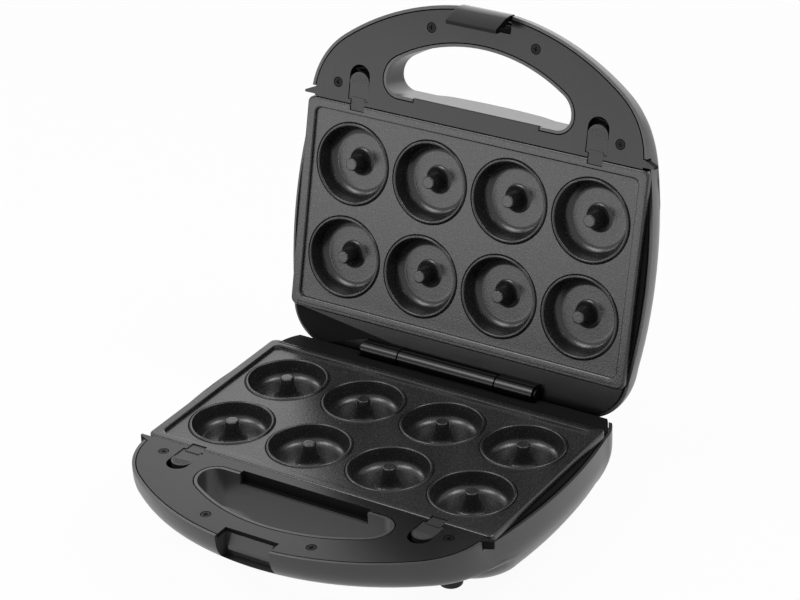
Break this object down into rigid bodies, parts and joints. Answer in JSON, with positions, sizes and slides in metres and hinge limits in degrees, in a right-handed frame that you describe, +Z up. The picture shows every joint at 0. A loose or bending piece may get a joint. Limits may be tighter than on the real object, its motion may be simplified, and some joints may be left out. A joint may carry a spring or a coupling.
{
  "type": "snack maker",
  "caption": "Open clamshell ring-cake maker: hinged lid, lift-out non-stick plates with ring cavities, sliding plate latches, D-shaped handle openings and a front clasp.",
  "frame": {"origin": "on the table, below the centre of the open part's box", "axes": "+Z up, -Y towards the handle of the base, +X to the right along the hinge"},
  "size_m": [0.2374, 0.2832, 0.26],
  "materials": {
    "housing_plastic": "satin moulded",
    "frame_plastic": "satin gloss moulded",
    "nonstick_plate": "speckled non-stick coating on cast aluminium",
    "latch_plastic": "satin moulded",
    "clasp_plastic": "satin moulded",
    "spring_steel": "spring strip",
    "reflector_steel": "bright sheet",
    "heater_sheath": "heat-tinted sheath",
    "ceramic": null,
    "control_metal": "plain",
    "wire_insulation": "glass braid sleeve",
    "screw_steel": "black zinc",
    "pin_steel": "turned",
    "foot_rubber": "matt",
    "power_red": "clear tinted",
    "ready_green": "clear tinted",
    "board": "laminate"
  },
  "bodies": {
    "base": {"base_shell": "housing_plastic", "base_frame": "frame_plastic", "base_reflector": "reflector_steel", "base_heater": "heater_sheath", "base_heater_clips": "reflector_steel", "base_heater_terminals": "ceramic", "thermostat": "control_metal", "thermal_fuse": "control_metal", "terminal_block": "ceramic", "base_wiring": "wire_insulation", "base_screws": "screw_steel", "cord_inlet": "foot_rubber", "hinge_pin": "pin_steel", "front_left_foot": "foot_rubber", "front_right_foot": "foot_rubber", "rear_left_foot": "foot_rubber", "rear_right_foot": "foot_rubber", "base_left_spring": "spring_steel", "base_right_spring": "spring_steel"},
    "lid": {"lid_shell": "housing_plastic", "lid_frame": "frame_plastic", "lid_reflector": "reflector_steel", "lid_heater": "heater_sheath", "lid_heater_clips": "reflector_steel", "lid_heater_terminals": "ceramic", "lid_wiring": "wire_insulation", "lid_screws": "screw_steel", "clasp_pin": "pin_steel", "power_lens": "power_red", "ready_lens": "ready_green", "lamp_board": "board", "lid_left_spring": "spring_steel", "lid_right_spring": "spring_steel"},
    "base_plate": {"base_plate": "nonstick_plate"},
    "base_left_latch": {"base_left_latch": "latch_plastic"},
    "base_right_latch": {"base_right_latch": "latch_plastic"},
    "lid_plate": {"lid_plate": "nonstick_plate"},
    "lid_left_latch": {"lid_left_latch": "latch_plastic"},
    "lid_right_latch": {"lid_right_latch": "latch_plastic"},
    "clasp": {"clasp": "clasp_plastic"}
  },
  "joints": [
    {"name": "lid_hinge", "type": "hinge", "parent": "base", "child": "lid", "pos_m": [0, 0.07251, 0.051], "axis": [-1, 0, 0], "range_deg": [-103.5, 0]},
    {"name": "clasp_pivot", "type": "hinge", "parent": "lid", "child": "clasp", "pos_m": [0, 0.12881, 0.25335], "axis": [-1, 0, 0], "range_deg": [0, 45]},
    {"name": "base_plate_lift", "type": "slide", "parent": "base", "child": "base_plate", "axis": [0, 0, 1], "range_m": [0, 0.06]},
    {"name": "lid_plate_lift", "type": "slide", "parent": "lid", "child": "lid_plate", "axis": [0, -0.9724, 0.2334], "range_m": [0, 0.02]},
    {"name": "base_left_latch_slide", "type": "slide", "parent": "base", "child": "base_left_latch", "axis": [0, -1, 0], "range_m": [0, 0.0042], "stiffness_N_per_m": 300, "springref_m": -0.002, "deforming": ["base_left_spring"]},
    {"name": "base_right_latch_slide", "type": "slide", "parent": "base", "child": "base_right_latch", "axis": [0, -1, 0], "range_m": [0, 0.0042], "stiffness_N_per_m": 300, "springref_m": -0.002, "deforming": ["base_right_spring"]},
    {"name": "lid_left_latch_slide", "type": "slide", "parent": "lid", "child": "lid_left_latch", "axis": [0, 0.2334, 0.9724], "range_m": [0, 0.0042], "stiffness_N_per_m": 300, "springref_m": -0.002, "deforming": ["lid_left_spring"]},
    {"name": "lid_right_latch_slide", "type": "slide", "parent": "lid", "child": "lid_right_latch", "axis": [0, 0.2334, 0.9724], "range_m": [0, 0.0042], "stiffness_N_per_m": 300, "springref_m": -0.002, "deforming": ["lid_right_spring"]}
  ]
}
